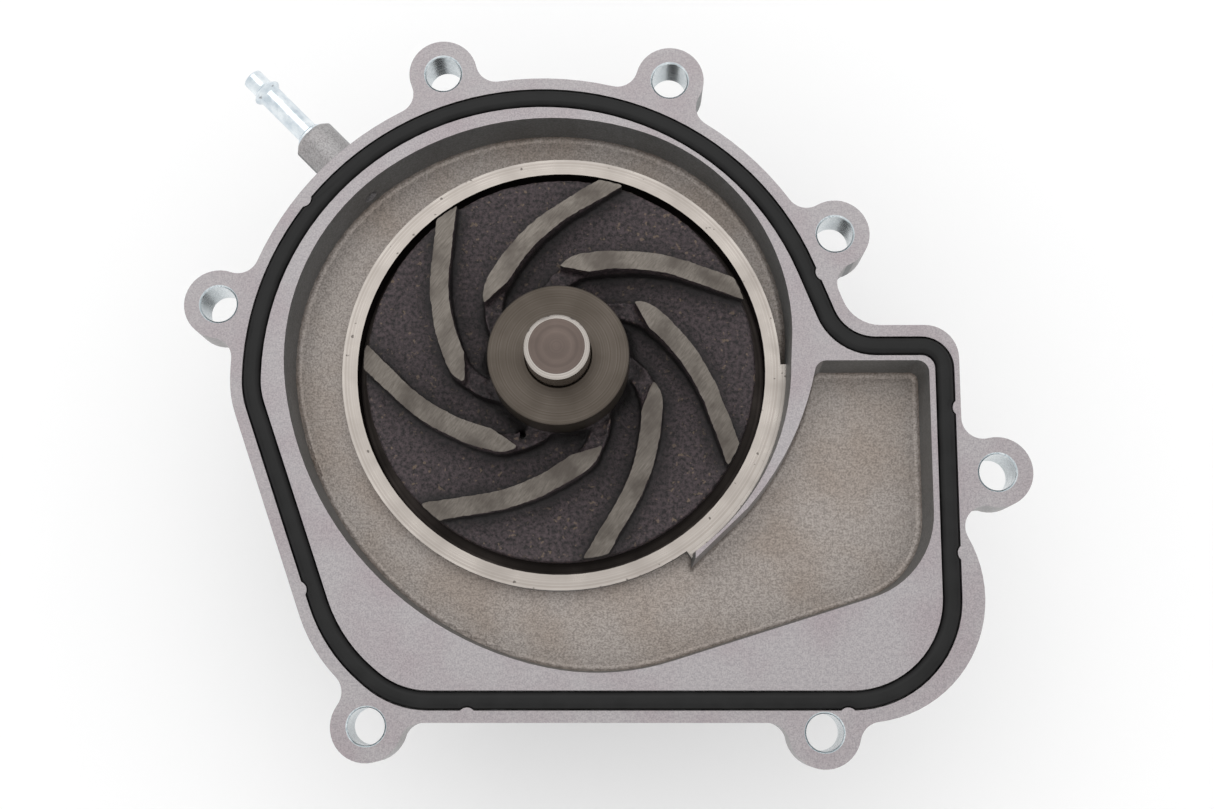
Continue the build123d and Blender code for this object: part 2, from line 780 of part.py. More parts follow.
spring_radius = case_inner - 0.6 - 2 * spring_wire_radius
spring_low = bellows_low + spring_wire_radius
spring_high = collar_low - spring_wire_radius
with BuildPart() as seal_spring:
    with BuildLine():
        coil = Helix((spring_high - spring_low) / spring_turns, spring_high - spring_low, spring_radius,
                     center=(0, 0, spring_low))
    with BuildSketch(Plane(origin=coil @ 0, z_dir=coil % 0)):
        Circle(spring_wire_radius)
    sweep()
seal_spring.part.label = "seal_spring"
export_step(seal_spring.part, "parts/seal_spring.step")

with BuildPart() as mating_ring:
    add(ring(mating_bore_radius, mating_ring_radius, mating_face, counterbore_top - boot_wall))
    chamfer(circles_of(mating_ring, mating_ring_radius), mating_ring_chamfer)
mating_ring.part.label = "mating_ring"
export_step(mating_ring.part, "parts/mating_ring.step")

with BuildPart() as mating_ring_boot:
    add(turned([
        (mating_bore_radius, counterbore_top - boot_wall),
        (mating_bore_radius, counterbore_top),
        (counterbore_radius, counterbore_top),
        (counterbore_radius, plate_back),
        (mating_ring_radius, plate_back),
        (mating_ring_radius, counterbore_top - boot_wall),
    ]))
mating_ring_boot.part.label = "mating_ring_boot"
export_step(mating_ring_boot.part, "parts/mating_ring_boot.step")

# ---------------------------------------------------------------- drive hub, pulley and bolts
with BuildPart() as drive_hub:
    add(turned([
        (shaft_radius, drive_face - spigot_height),
        (spigot_radius - 0.5, drive_face - spigot_height),
        (spigot_radius, drive_face - spigot_height + 0.5),
        (spigot_radius, drive_face),
        (drive_hub_radius, drive_face),
        (drive_hub_radius, drive_flange_top),
        (drive_hub_neck_radius + 3, drive_flange_top),
        (drive_hub_neck_radius, drive_flange_top + 3),
        (drive_hub_neck_radius, drive_hub_top - 1),
        (drive_hub_neck_radius - 1, drive_hub_top),
        (shaft_radius, drive_hub_top),
    ]))
    with BuildSketch(Plane.XY.offset(drive_face)):
        with PolarLocations(bolt_circle_radius, pulley_bolt_count):
            Circle(pulley_bolt_radius)
    extrude(amount=drive_flange_thickness, mode=Mode.SUBTRACT)
drive_hub.part.label = "drive_hub"
export_step(drive_hub.part, "parts/drive_hub.step")

rib_land = (pulley_width - belt_ribs * belt_rib_pitch) / 2
rim_inner = pulley_radius - belt_rib_depth - pulley_rim_wall
belt_profile = []
for number in range(belt_ribs):
    valley = pulley_low + rib_land + number * belt_rib_pitch
    belt_profile.append((pulley_radius - belt_rib_crown, valley))
    belt_profile.append((pulley_radius - belt_rib_depth, valley + 0.42 * belt_rib_pitch))
    belt_profile.append((pulley_radius - belt_rib_depth, valley + 0.58 * belt_rib_pitch))
belt_profile.append((pulley_radius - belt_rib_crown, pulley_high - rib_land))
with BuildPart() as pulley:
    add(turned([
        (spigot_radius + fit_gap, web_face),
        (drive_hub_radius + web_land, web_face),
        (rim_inner, web_face + web_rise),
        (rim_inner, pulley_low),
        (pulley_radius - pulley_break, pulley_low),
        (pulley_radius, pulley_low + pulley_break),
        *belt_profile,
        (pulley_radius, pulley_high - pulley_break),
        (pulley_radius - pulley_break, pulley_high),
        (rim_inner, pulley_high),
        (rim_inner, drive_face + web_rise),
        (drive_hub_radius + web_land, drive_face),
        (spigot_radius + fit_gap, drive_face),
    ]))
    with BuildSketch(Plane.XY.offset(drive_face)):
        with PolarLocations(bolt_circle_radius, pulley_bolt_count):
            Circle(pulley_bolt_radius + bolt_play)
    extrude(amount=-pulley_web, mode=Mode.SUBTRACT)
pulley.part.label = "pulley"
export_step(pulley.part, "parts/pulley.step")

with BuildPart() as pulley_bolts:
    with BuildSketch(Plane.XY.offset(web_face)):
        with PolarLocations(bolt_circle_radius, pulley_bolt_count):
            Circle(bolt_washer_radius)
    extrude(amount=-bolt_washer_thickness)
    with BuildSketch(Plane.XY.offset(web_face - bolt_washer_thickness)):
        with PolarLocations(bolt_circle_radius, pulley_bolt_count):
            RegularPolygon(bolt_head_across / 2, 6, major_radius=False)
    extrude(amount=-bolt_head_height)
    with BuildSketch(Plane.XY.offset(web_face)):
        with PolarLocations(bolt_circle_radius, pulley_bolt_count):
            Circle(pulley_bolt_radius)
    extrude(amount=pulley_web + drive_flange_thickness)
pulley_bolts.part.label = "pulley_bolts"
export_step(pulley_bolts.part, "parts/pulley_bolts.step")
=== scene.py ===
# %% [markdown]
# # An engine coolant pump
# The pump is a die-cast aluminium housing with a rubber seal in its face, a cast-iron impeller,
# a shaft in its own bearing, and a belt pulley behind. The CAD model gives every size. Here it
# gets its finishes, its soft edges and the rough skin of its castings.

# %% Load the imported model
import json
import math

import bmesh
import bpy
from mathutils import Matrix, Vector, kdtree, noise


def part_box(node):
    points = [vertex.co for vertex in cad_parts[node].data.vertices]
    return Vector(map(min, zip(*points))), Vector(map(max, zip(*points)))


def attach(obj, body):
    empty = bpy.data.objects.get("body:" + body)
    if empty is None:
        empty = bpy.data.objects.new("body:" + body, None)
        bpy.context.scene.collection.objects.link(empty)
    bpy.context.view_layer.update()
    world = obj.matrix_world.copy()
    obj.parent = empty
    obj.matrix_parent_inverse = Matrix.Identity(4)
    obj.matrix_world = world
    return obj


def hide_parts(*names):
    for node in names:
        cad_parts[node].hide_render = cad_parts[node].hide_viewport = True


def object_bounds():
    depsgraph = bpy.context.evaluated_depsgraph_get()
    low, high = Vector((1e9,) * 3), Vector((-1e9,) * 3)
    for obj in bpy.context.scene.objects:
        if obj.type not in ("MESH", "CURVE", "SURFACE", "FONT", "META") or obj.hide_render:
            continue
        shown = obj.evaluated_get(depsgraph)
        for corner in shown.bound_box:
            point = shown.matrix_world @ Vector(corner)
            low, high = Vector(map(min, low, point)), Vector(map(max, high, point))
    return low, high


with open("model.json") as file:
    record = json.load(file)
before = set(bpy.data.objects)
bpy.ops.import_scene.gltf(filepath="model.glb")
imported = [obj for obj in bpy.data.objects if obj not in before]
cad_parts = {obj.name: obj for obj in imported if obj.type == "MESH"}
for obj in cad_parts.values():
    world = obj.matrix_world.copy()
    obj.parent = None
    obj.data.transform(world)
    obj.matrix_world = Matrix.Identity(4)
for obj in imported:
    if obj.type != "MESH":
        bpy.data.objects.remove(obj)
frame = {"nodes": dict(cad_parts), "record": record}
nodes = frame["nodes"]
mounts = {mount["name"]: mount for mount in frame["record"]["mounts"]}
cad_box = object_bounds()
print("CAD nodes:", len(nodes), "size in mm:", [round(1000 * side) for side in cad_box[1] - cad_box[0]])

# %% [markdown]
# ## Millimetres
# Blender works in metres and the pump was drawn in millimetres. One factor keeps the numbers
# in this lesson as a machinist would say them.

# %% Units
MM = 0.001


def radius_of(point):
    """Distance from the shaft axis."""
    return math.hypot(point.x, point.y)


# %% [markdown]
# ## Camera
# The camera looks down on the mounting face, a little from below its middle. Setting the tilt
# and the small turn as angles keeps the numbers readable. A 51 mm lens on a full-frame sensor
# from 0.42 m gives the slight perspective that shows the inside walls of the upper half.

# %% Camera
camera_data = bpy.data.cameras.new("camera")
camera_data.lens = 50.77
camera_data.sensor_width = 36.0
camera_data.clip_start = 10 * MM
camera = bpy.data.objects.new("camera", camera_data)
camera.location = Vector((16.0, -83.6, 418.4)) * MM
camera.rotation_euler = (math.radians(9.90), math.radians(0.575), 0.0)
bpy.context.scene.collection.objects.link(camera)
bpy.context.scene.camera = camera
print("camera at", [round(value, 3) for value in camera.location])

# %% [markdown]
# ## Colours and nodes
# A designer reads colours as sRGB hex values, while a shader needs linear light. One function
# turns the first into the second. Two more are all that the materials need: one gives a node's
# inputs their values or links, and one adds a node and hands back the output that is wanted.


# %% Colour and node helpers
def linear(hex_colour):
    """Linear RGBA of an sRGB hex colour such as "#A9A9A9"."""
    steps = [int(hex_colour[i:i + 2], 16) / 255 for i in (1, 3, 5)]
    return [s / 12.92 if s <= 0.04045 else ((s + 0.055) / 1.055) ** 2.4 for s in steps] + [1.0]


def feed(material, node, sockets):
    """Set each named input to a value, or link it to the output that is given."""
    for key, value in sockets.items():
        if isinstance(value, bpy.types.NodeSocket):
            material.node_tree.links.new(value, node.inputs[key])
        else:
            node.inputs[key].default_value = value


def add_node(material, kind, sockets, output=0, **settings):
    """Add one node with its settings and links, and return one of its outputs."""
    made = material.node_tree.nodes.new("ShaderNode" + kind)
    for name, value in settings.items():
        setattr(made, name, value)
    feed(material, made, sockets)
    return made.outputs[output]


def new_material(name, sockets):
    """A material with one Principled shader, and that shader."""
    material = bpy.data.materials.new(name)
    material.use_nodes = True
    shader = material.node_tree.nodes["Principled BSDF"]
    feed(material, shader, sockets)
    return material, shader


# %% [markdown]
# ## Patterns in real sizes
# Every pattern reads Object coordinates, so that it stays on its piece when the piece turns.
# A noise has about one blotch per unit of its scale, so blotches of 0.4 mm are a scale of
# 1 / (0.4 * MM). A Mix node has separate inputs for numbers and for colours. These are their
# places, so that a recipe can say which it means.

# %% Places of the Mix node's inputs
FACTOR, FIRST_NUMBER, SECOND_NUMBER, FIRST_COLOUR, SECOND_COLOUR = 0, 2, 3, 6, 7
COLOUR_OUT = 2
print("pattern helpers ready")

# %% [markdown]
# ## Die-cast aluminium, shot-blasted
# The housing comes out of a die and is blasted with fine shot. The blast leaves a matt grain of
# about 0.4 mm over faint cloudy stains. The grain is a mix of a fine and a coarser noise,
# because one noise alone looks like fog. Bare aluminium is a metal, but the blasted skin
# scatters light like chalk, so the shader is a little less than fully metallic.


# %% Cast aluminium
def cast_aluminium(name, pale, dark, stain, grain_mm, depth_mm, roughness):
    """Shot-blasted casting in a pale, a dark and a stain colour."""
    material, shader = new_material(name, {"Metallic": 0.7})
    at = add_node(material, "TexCoord", {}, "Object")
    sockets = {"Vector": at, "Scale": 1 / (grain_mm * MM), "Detail": 2.0, "Roughness": 0.6}
    fine = add_node(material, "TexNoise", sockets)
    sockets = {"Vector": at, "Scale": 1 / (2.6 * grain_mm * MM), "Detail": 2.0, "Roughness": 0.6}
    coarse = add_node(material, "TexNoise", sockets)
    cloud = add_node(material, "TexNoise", {"Vector": at, "Scale": 1 / (17.0 * MM), "Detail": 3.0})
    speckle = add_node(material, "Mix", {FACTOR: 0.4, FIRST_NUMBER: fine, SECOND_NUMBER: coarse})
    sharp = add_node(material, "MapRange", {"Value": speckle, "From Min": 0.4, "From Max": 0.6})
    sockets = {FACTOR: sharp, FIRST_COLOUR: linear(dark), SECOND_COLOUR: linear(pale)}
    base = add_node(material, "Mix", sockets, COLOUR_OUT, data_type="RGBA")
    patches = add_node(material, "MapRange", {"Value": cloud, "From Min": 0.42, "From Max": 0.68})
    sockets = {FACTOR: patches, FIRST_COLOUR: base, SECOND_COLOUR: linear(stain)}
    stained = add_node(material, "Mix", sockets, COLOUR_OUT, data_type="RGBA", blend_type="MULTIPLY")
    sockets = {"Value": coarse, "From Min": 0.3, "From Max": 0.7}
    sockets.update({"To Min": roughness - 0.07, "To Max": roughness + 0.07})
    dull = add_node(material, "MapRange", sockets)
    normal = add_node(material, "Bump", {"Height": speckle, "Distance": depth_mm * MM})
    feed(material, shader, {"Base Color": stained, "Roughness": dull, "Normal": normal})
    return material


outer_skin = cast_aluminium("cast_aluminium_blasted", "#B0AEAE", "#8D8B8B", "#F4F0F0", 0.4, 0.08, 0.52)
face_skin = cast_aluminium("aluminium_mounting_face", "#ADA8A9", "#938F91", "#F6F0F2", 0.4, 0.04, 0.50)
floor_skin = cast_aluminium(
    "cast_aluminium_chamber_floor", "#B0A8A2", "#857E79", "#F4EFEA", 0.5, 0.12, 0.55,
)
# The chamber walls are the same casting as the floor; their darker grey is painted shade.
wall_painted_shade_skin = cast_aluminium("cast_aluminium_chamber_wall_painted_shade", "#858686", "#6C6D6D", "#EEEEEE", 0.5, 0.08, 0.5)
print("cast finishes:", outer_skin.name, face_skin.name, floor_skin.name, wall_painted_shade_skin.name)

# %% [markdown]
# ## Turned metal
# The ring round the impeller is turned on a lathe. It shines more than the casting, with
# hairlines that run round the shaft axis and a few open pores. The hairlines come from a noise
# that is read by radius and height alone, so that they follow the cutting tool. Real tool marks
# are under 0.1 mm apart, so these are drawn coarser, as wide as it takes to see them.


# %% Turned metal
def turned_metal(name, pale, dark, roughness, line_mm, metallic=1.0, pores=0.0, line_depth=0.006):
    """Lathe-turned metal with hairlines round the shaft axis."""
    material, shader = new_material(name, {"Metallic": metallic})
    at = add_node(material, "TexCoord", {}, "Object")
    x = add_node(material, "SeparateXYZ", {"Vector": at}, "X")
    y = add_node(material, "SeparateXYZ", {"Vector": at}, "Y")
    z = add_node(material, "SeparateXYZ", {"Vector": at}, "Z")
    flat = add_node(material, "CombineXYZ", {"X": x, "Y": y})
    radius = add_node(material, "VectorMath", {0: flat}, "Value", operation="LENGTH")
    along = add_node(material, "CombineXYZ", {"X": radius, "Y": z})
    lines = add_node(material, "TexNoise", {"Vector": along, "Scale": 1 / (line_mm * MM), "Detail": 2.0})
    cloud = add_node(material, "TexNoise", {"Vector": at, "Scale": 1 / (9.0 * MM), "Detail": 3.0})
    streak = add_node(material, "MapRange", {"Value": lines, "From Min": 0.3, "From Max": 0.7})
    sockets = {FACTOR: streak, FIRST_COLOUR: linear(dark), SECOND_COLOUR: linear(pale)}
    base = add_node(material, "Mix", sockets, COLOUR_OUT, data_type="RGBA")
    sockets = {"Value": cloud, "From Min": 0.35, "From Max": 0.7, "To Max": 0.5}
    patches = add_node(material, "MapRange", sockets)
    sockets = {FACTOR: patches, FIRST_COLOUR: base, SECOND_COLOUR: linear(dark)}
    base = add_node(material, "Mix", sockets, COLOUR_OUT, data_type="RGBA")
    if pores:
        pits = add_node(material, "TexNoise", {"Vector": at, "Scale": 1 / (1.6 * MM), "Detail": 1.0})
        sockets = {"Value": pits, "From Min": 0.72, "From Max": 0.76, "To Max": pores}
        open_pits = add_node(material, "MapRange", sockets)
        sockets = {FACTOR: open_pits, FIRST_COLOUR: base, SECOND_COLOUR: linear("#4A4541")}
        base = add_node(material, "Mix", sockets, COLOUR_OUT, data_type="RGBA")
    sockets = {"Value": cloud, "From Min": 0.3, "From Max": 0.7}
    sockets.update({"To Min": roughness - 0.05, "To Max": roughness + 0.08})
    dull = add_node(material, "MapRange", sockets)
    normal = add_node(material, "Bump", {"Height": lines, "Distance": line_depth * MM})
    feed(material, shader, {"Base Color": base, "Roughness": dull, "Normal": normal})
    return material


ring_skin = turned_metal("aluminium_turned_ring", "#AAA49E", "#908983", 0.28, 0.35, pores=0.8)
bore_skin = turned_metal("aluminium_drilled_bore", "#E8EEF0", "#B0BABF", 0.22, 0.5, line_depth=0.03)
# The recess under the impeller is the same turned aluminium as the ring, painted near black as shade.
recess_painted_shade_skin = turned_metal("aluminium_turned_recess_painted_shade", "#3E3936", "#2A2624", 0.4, 0.4)
print("turned finishes:", ring_skin.name, bore_skin.name, recess_painted_shade_skin.name)

# %% [markdown]
# ## One noise, two colours
# Rubber, coatings, platings and plastics need no more than two close colours, mixed by one
# noise that also varies how dull they are.


# %% Two-colour materials
def two_colour(name, pale, dark, blotch_mm, dull_least, dull_most, metallic=0.0, depth_mm=0.0):
    """A material whose colour and roughness wander with one noise."""
    material, shader = new_material(name, {"Metallic": metallic})
    at = add_node(material, "TexCoord", {}, "Object")
    blotch = add_node(material, "TexNoise", {"Vector": at, "Scale": 1 / (blotch_mm * MM), "Detail": 3.0})
    spread = add_node(material, "MapRange", {"Value": blotch, "From Min": 0.35, "From Max": 0.68})
    sockets = {FACTOR: spread, FIRST_COLOUR: linear(dark), SECOND_COLOUR: linear(pale)}
    base = add_node(material, "Mix", sockets, COLOUR_OUT, data_type="RGBA")
    sockets = {"Value": blotch, "From Min": 0.3, "From Max": 0.7, "To Min": dull_least, "To Max": dull_most}
    feed(material, shader, {"Base Color": base, "Roughness": add_node(material, "MapRange", sockets)})
    if depth_mm:
        normal = add_node(material, "Bump", {"Height": blotch, "Distance": depth_mm * MM})
        feed(material, shader, {"Normal": normal})
    return material


rubber = two_colour("rubber_moulded_black", "#191919", "#0C0C0C", 6.0, 0.4, 0.55)
feed(rubber, rubber.node_tree.nodes["Principled BSDF"], {"Specular IOR Level": 0.25})
zinc = two_colour("steel_tube_bright_zinc", "#EAF0F3", "#C6D1D9", 3.0, 0.12, 0.24, metallic=1.0)
coat = two_colour("pulley_electrocoat_black", "#262628", "#141415", 0.8, 0.32, 0.46, depth_mm=0.02)
plated_steel = two_colour("steel_screw_zinc_plated", "#AEB2B2", "#8C908F", 2.5, 0.24, 0.4, metallic=1.0)
ceramic = two_colour("ceramic_lapped", "#E6E1D6", "#D8D2C4", 1.0, 0.16, 0.24)
carbon = two_colour("carbon_graphite_lapped", "#2D2F31", "#1B1C1E", 0.6, 0.36, 0.45)
cage_plastic = two_colour("polyamide_moulded_cage", "#DDD2B0", "#CDBF97", 1.5, 0.4, 0.5)
print("two-colour materials:", rubber.name, zinc.name, coat.name, plated_steel.name)

# %% [markdown]
# ## Copies of CAD meshes
# A CAD mesh is loose triangles and may not be touched. A copy is merged into one skin, and its
# flat faces are joined into large ones, so that a bevel has clean edges to follow. Every real
# edge is broken by a fraction of a millimetre, and that thin line of light is what makes metal
# look solid.


# %% Copy, soften and finish a mesh
def cad_copy(node):
    """A new bmesh with a CAD node's triangles merged and its flat faces joined."""
    mesh = bmesh.new()
    mesh.from_mesh(nodes[node].data)
    bmesh.ops.remove_doubles(mesh, verts=mesh.verts, dist=0.002 * MM)
    bmesh.ops.dissolve_limit(mesh, angle_limit=math.radians(0.6), verts=mesh.verts, edges=mesh.edges)
    return mesh


def break_edges(mesh, width_mm, segments=2, sharper_than=32.0):
    """Round every edge that turns by more than sharper_than degrees."""
    limit = math.radians(sharper_than)
    sharp = [e for e in mesh.edges if len(e.link_faces) == 2 and e.calc_face_angle(0.0) > limit]
    bmesh.ops.bevel(
        mesh, geom=sharp, offset=width_mm * MM, offset_type="OFFSET", segments=segments,
        profile=0.5, affect="EDGES", material=-1, clamp_overlap=True, loop_slide=True,
    )
    return len(sharp)


def finish_piece(name, mesh, materials, body, smooth_under=35.0, replaces=()):
    """Turn a bmesh into an object that rides on a CAD body."""
    bmesh.ops.triangulate(mesh, faces=[f for f in mesh.faces if len(f.verts) > 4])
    for face in mesh.faces:
        face.smooth = True
    limit = math.radians(smooth_under)
    for edge in mesh.edges:
        edge.smooth = len(edge.link_faces) == 2 and edge.calc_face_angle(0.0) < limit
    data = bpy.data.meshes.new(name)
    mesh.to_mesh(data)
    mesh.free()
    for material in materials:
        data.materials.append(material)
    piece = bpy.data.objects.new(name, data)
    bpy.context.scene.collection.objects.link(piece)
    weights = piece.modifiers.new("flat_faces_stay_flat", "WEIGHTED_NORMAL")
    weights.keep_sharp = True
    weights.weight = 100
    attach(piece, body)
    if replaces:
        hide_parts(*replaces)
    print(name, "faces:", len(data.polygons))
    return piece


# %% [markdown]
# ## Housing
# The housing's shape is right in the CAD model, so a copy of it is kept and only its edges are
# broken. Its faces are then sorted by where they are: the mounting face, the chamber's floor
# and walls, the turned ring, and the drilled holes each have a finish of their own. The walls
# and the recess under the impeller are given darker copies of their metal as painted shade.

# %% Housing
RING_OUTER = 55.9 * MM
RING_TOP = -10.0 * MM
CHAMBER_FLOOR = -14.5 * MM
RECESS_FLOOR = -17.0 * MM
SEAL_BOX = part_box("flange_seal")
CHAMBER_BOX = (SEAL_BOX[0] + Vector((8, 8, 0)) * MM, SEAL_BOX[1] - Vector((5.5, 5.5, 0)) * MM)
BOLT_HOLES = [Vector(m["pos_m"]) for m in mounts.values() if m["kind"] == "bore"]
HOLE_RADIUS = 4.5 * MM
HOLE_RIM = 0.7 * MM
LEVEL_SLACK = 0.1 * MM
FLOOR_ROUND = 1.7 * MM
OUTSIDE, FACE, FLOOR, WALL, RING, BORE, RECESS = range(7)


def faces_inwards(face, at):
    """True on a chamber wall, whose normal points back towards the middle of the flange."""
    inside = at.x < CHAMBER_BOX[1].x and at.x > CHAMBER_BOX[0].x and at.y > CHAMBER_BOX[0].y
    return inside and face.normal.x * at.x + face.normal.y * at.y < 0.2 * radius_of(at)


def housing_finish(face):
    """Which finish a face of the housing has."""
    at = face.calc_center_median()
    up = face.normal.z
    near_hole = any(math.hypot(at.x - h.x, at.y - h.y) < HOLE_RADIUS + HOLE_RIM for h in BOLT_HOLES)
    if near_hole and abs(up) < 0.9:
        return BORE
    if up > 0.98 and at.z > -LEVEL_SLACK:
        return FACE
    if CHAMBER_FLOOR - LEVEL_SLACK < at.z < CHAMBER_FLOOR + FLOOR_ROUND and up > 0.2:
        return FLOOR
    if abs(at.z - RING_TOP) < LEVEL_SLACK and up > 0.9:
        return RING
    if radius_of(at) < RING_OUTER - 2 * MM and RECESS_FLOOR - LEVEL_SLACK < at.z < RING_TOP and up > -0.1:
        return RECESS
    if CHAMBER_FLOOR < at.z < -0.2 * MM and -0.3 < up < 0.3 and faces_inwards(face, at):
        return WALL
    return OUTSIDE


housing_mesh = cad_copy("pump_housing")
broken = break_edges(housing_mesh, 0.3)
for face in housing_mesh.faces:
    face.material_index = housing_finish(face)
housing_skins = [outer_skin, face_skin, floor_skin, wall_painted_shade_skin, ring_skin, bore_skin, recess_painted_shade_skin]
finish_piece("pump_housing_casting", housing_mesh, housing_skins, "housing",
             replaces=["pump_housing"])
print("housing edges broken:", broken)

# %% [markdown]
# ## Rubber seal
# The seal is a moulded band of black rubber that lies in the groove and stands a little proud.
# Its top is crowned. The CAD band is flat, so its copy's top is lowered and then inset in steps
# that follow a quarter circle. That rounds both long edges and the small notches at once.
# %% Seal
CROWN_RADIUS = 1.5 * MM
CROWN_STEPS = 6
seal_mesh = cad_copy("flange_seal")
seal_top = SEAL_BOX[1].z
crown = [face for face in seal_mesh.faces if face.normal.z > 0.9]
for vertex in {v for face in crown for v in face.verts}:
    vertex.co.z = seal_top - CROWN_RADIUS
quarter = [math.pi / 2 * step / CROWN_STEPS for step in range(CROWN_STEPS + 1)]
for low, high in zip(quarter, quarter[1:]):
    bmesh.ops.inset_region(
        seal_mesh, faces=crown, use_boundary=True, use_even_offset=True,
        thickness=CROWN_RADIUS * (math.cos(low) - math.cos(high)),
        depth=CROWN_RADIUS * (math.sin(high) - math.sin(low)),
    )
finish_piece("flange_seal_band", seal_mesh, [rubber], "housing", 60.0, ["flange_seal"])

# %% [markdown]
# ## Cast-iron impeller
# The impeller is cast in sand, so its skin is rough and its corners are round, and then the
# tops of its vanes are ground flat to clear the engine block. The order of work is the same
# here. The vane tops of a copy are raised, the copy is turned into one even skin of small
# squares, smoothed, and roughened with a noise. Then everything above the grinding line is
# pressed down onto it, which leaves flat tops with a crisp, slightly wandering edge.

# %% Impeller: even skin of a copy
VANE_TOP = 3.2 * MM
VANE_TOP_RADIUS = 24.0 * MM
VANE_FALL = 0.2
HUB_RADIUS = 17.4 * MM
PLATE_TOP = -6.0 * MM
GRINDING_STOCK = 0.9 * MM
SKIN_MM = 0.55
# The cast core is drawn in under the turned sleeve that covers the hub.
HUB_CLEAR = 0.5 * MM
VANE_LOW = -3.4 * MM
HUB_FLARE_TOP = PLATE_TOP + 3 * MM
SLEEVE_COVER = 0.6 * MM
HUB_EDGE_SHARE, SLEEVE_SHRINK = 0.9, 0.97
SMOOTHING_PASSES = 5


def grinding_line(radius):
    """Height of the ground vane tops at this radius."""
    return VANE_TOP - VANE_FALL * (radius - VANE_TOP_RADIUS)


def even_skin(mesh, size_mm):
    """The same shape as one skin of small squares."""
    data = bpy.data.meshes.new("even_skin")
    mesh.to_mesh(data)
    mesh.free()
    holder = bpy.data.objects.new("even_skin", data)
    bpy.context.scene.collection.objects.link(holder)
    remesh = holder.modifiers.new("even_skin", "REMESH")
    remesh.mode = "VOXEL"
    remesh.voxel_size = size_mm * MM
    remesh.adaptivity = 0.0
    shaped = holder.evaluated_get(bpy.context.evaluated_depsgraph_get())
    skin = bmesh.new()
    skin.from_mesh(shaped.to_mesh())
    bpy.data.objects.remove(holder)
    bpy.data.meshes.remove(data)
    return skin


impeller_mesh = cad_copy("impeller")
for vertex in impeller_mesh.verts:
    away = radius_of(vertex.co)
    if away > HUB_RADIUS + HUB_CLEAR and vertex.co.z > VANE_LOW:
        vertex.co.z += GRINDING_STOCK
    elif vertex.co.z > HUB_FLARE_TOP:
        vertex.co.z -= SLEEVE_COVER
        if away > HUB_EDGE_SHARE * HUB_RADIUS:
            vertex.co.xy *= SLEEVE_SHRINK
impeller_mesh = even_skin(impeller_mesh, SKIN_MM)
for _ in range(SMOOTHING_PASSES):
    bmesh.ops.smooth_vert(impeller_mesh, verts=impeller_mesh.verts, factor=0.5,
                          use_axis_x=True, use_axis_y=True, use_axis_z=True)
print("impeller skin:", len(impeller_mesh.faces), "faces")

# %% [markdown]
# The noise that roughens the skin has two sizes, as sand does: grains of about a millimetre and
# shallow waves of about six. The plate keeps a thin ring where two parts of the mould met.

# %% Impeller: roughen and grind
MOULD_LINE, MOULD_LINE_WIDTH, MOULD_LINE_DEPTH = 44.8 * MM, 0.45 * MM, 0.28 * MM
BORE_CLEAR = 9.0 * MM
GRAIN_SIZE, WAVE_SIZE = 1.1 * MM, 6.0 * MM
GRAIN_DEPTH, WAVE_DEPTH = 0.16 * MM, 0.18 * MM
impeller_mesh.normal_update()
moves = []
for vertex in impeller_mesh.verts:
    at = vertex.co
    away = radius_of(at)
    grit = noise.noise(at / GRAIN_SIZE) * GRAIN_DEPTH + noise.noise(at / WAVE_SIZE) * WAVE_DEPTH
    if away < BORE_CLEAR or at.z < PLATE_TOP - 3 * MM:
        grit = 0.0
    on_plate = PLATE_TOP - 1 * MM < at.z < PLATE_TOP + 0.6 * MM
    line = math.exp(-(((away - MOULD_LINE) / MOULD_LINE_WIDTH) ** 2)) * on_plate
    moves.append(vertex.normal * grit - Vector((0, 0, MOULD_LINE_DEPTH * line)))
for vertex, move in zip(impeller_mesh.verts, moves):
    vertex.co += move
for vertex in impeller_mesh.verts:
    away = radius_of(vertex.co)
    if away > HUB_RADIUS + 0.2 * MM:
        vertex.co.z = min(vertex.co.z, grinding_line(away))

# %% [markdown]
# The hub is turned on a lathe, so it is spun as a crisp sleeve over the cast core.


# %% Impeller: turned hub
def spun(profile, steps=96, at=Matrix.Identity(4)):
    """Closed (radius, height) profile in millimetres, spun a full turn about the local Z axis."""
    mesh = bmesh.new()
    corners = [mesh.verts.new((radius * MM, 0, height * MM)) for radius, height in profile]
    edges = [mesh.edges.new((a, b)) for a, b in zip(corners, corners[1:] + corners[:1])]
    bmesh.ops.spin(mesh, geom=corners + edges, cent=(0, 0, 0), axis=(0, 0, 1),
                   angle=math.tau, steps=steps, use_merge=True)
    bmesh.ops.remove_doubles(mesh, verts=mesh.verts, dist=0.001 * MM)
    bmesh.ops.recalc_face_normals(mesh, faces=mesh.faces)
    bmesh.ops.transform(mesh, matrix=at, verts=mesh.verts)
    return mesh


def join_into(target, extra, material_index):
    """Add one bmesh to another, with this material."""
    for face in extra.faces:
        face.material_index = material_index
    data = bpy.data.meshes.new("extra")
    extra.to_mesh(data)
    extra.free()
    target.from_mesh(data)
    bpy.data.meshes.remove(data)


HUB_PROFILE = [(8.0, -2.6), (16.6, -2.6), (17.4, -1.8), (17.4, 9.75), (17.3, 9.98),
               (17.1, 10.13), (16.9, 10.2), (8.4, 10.2), (8.0, 9.8)]
join_into(impeller_mesh, spun(HUB_PROFILE, 128), 1)
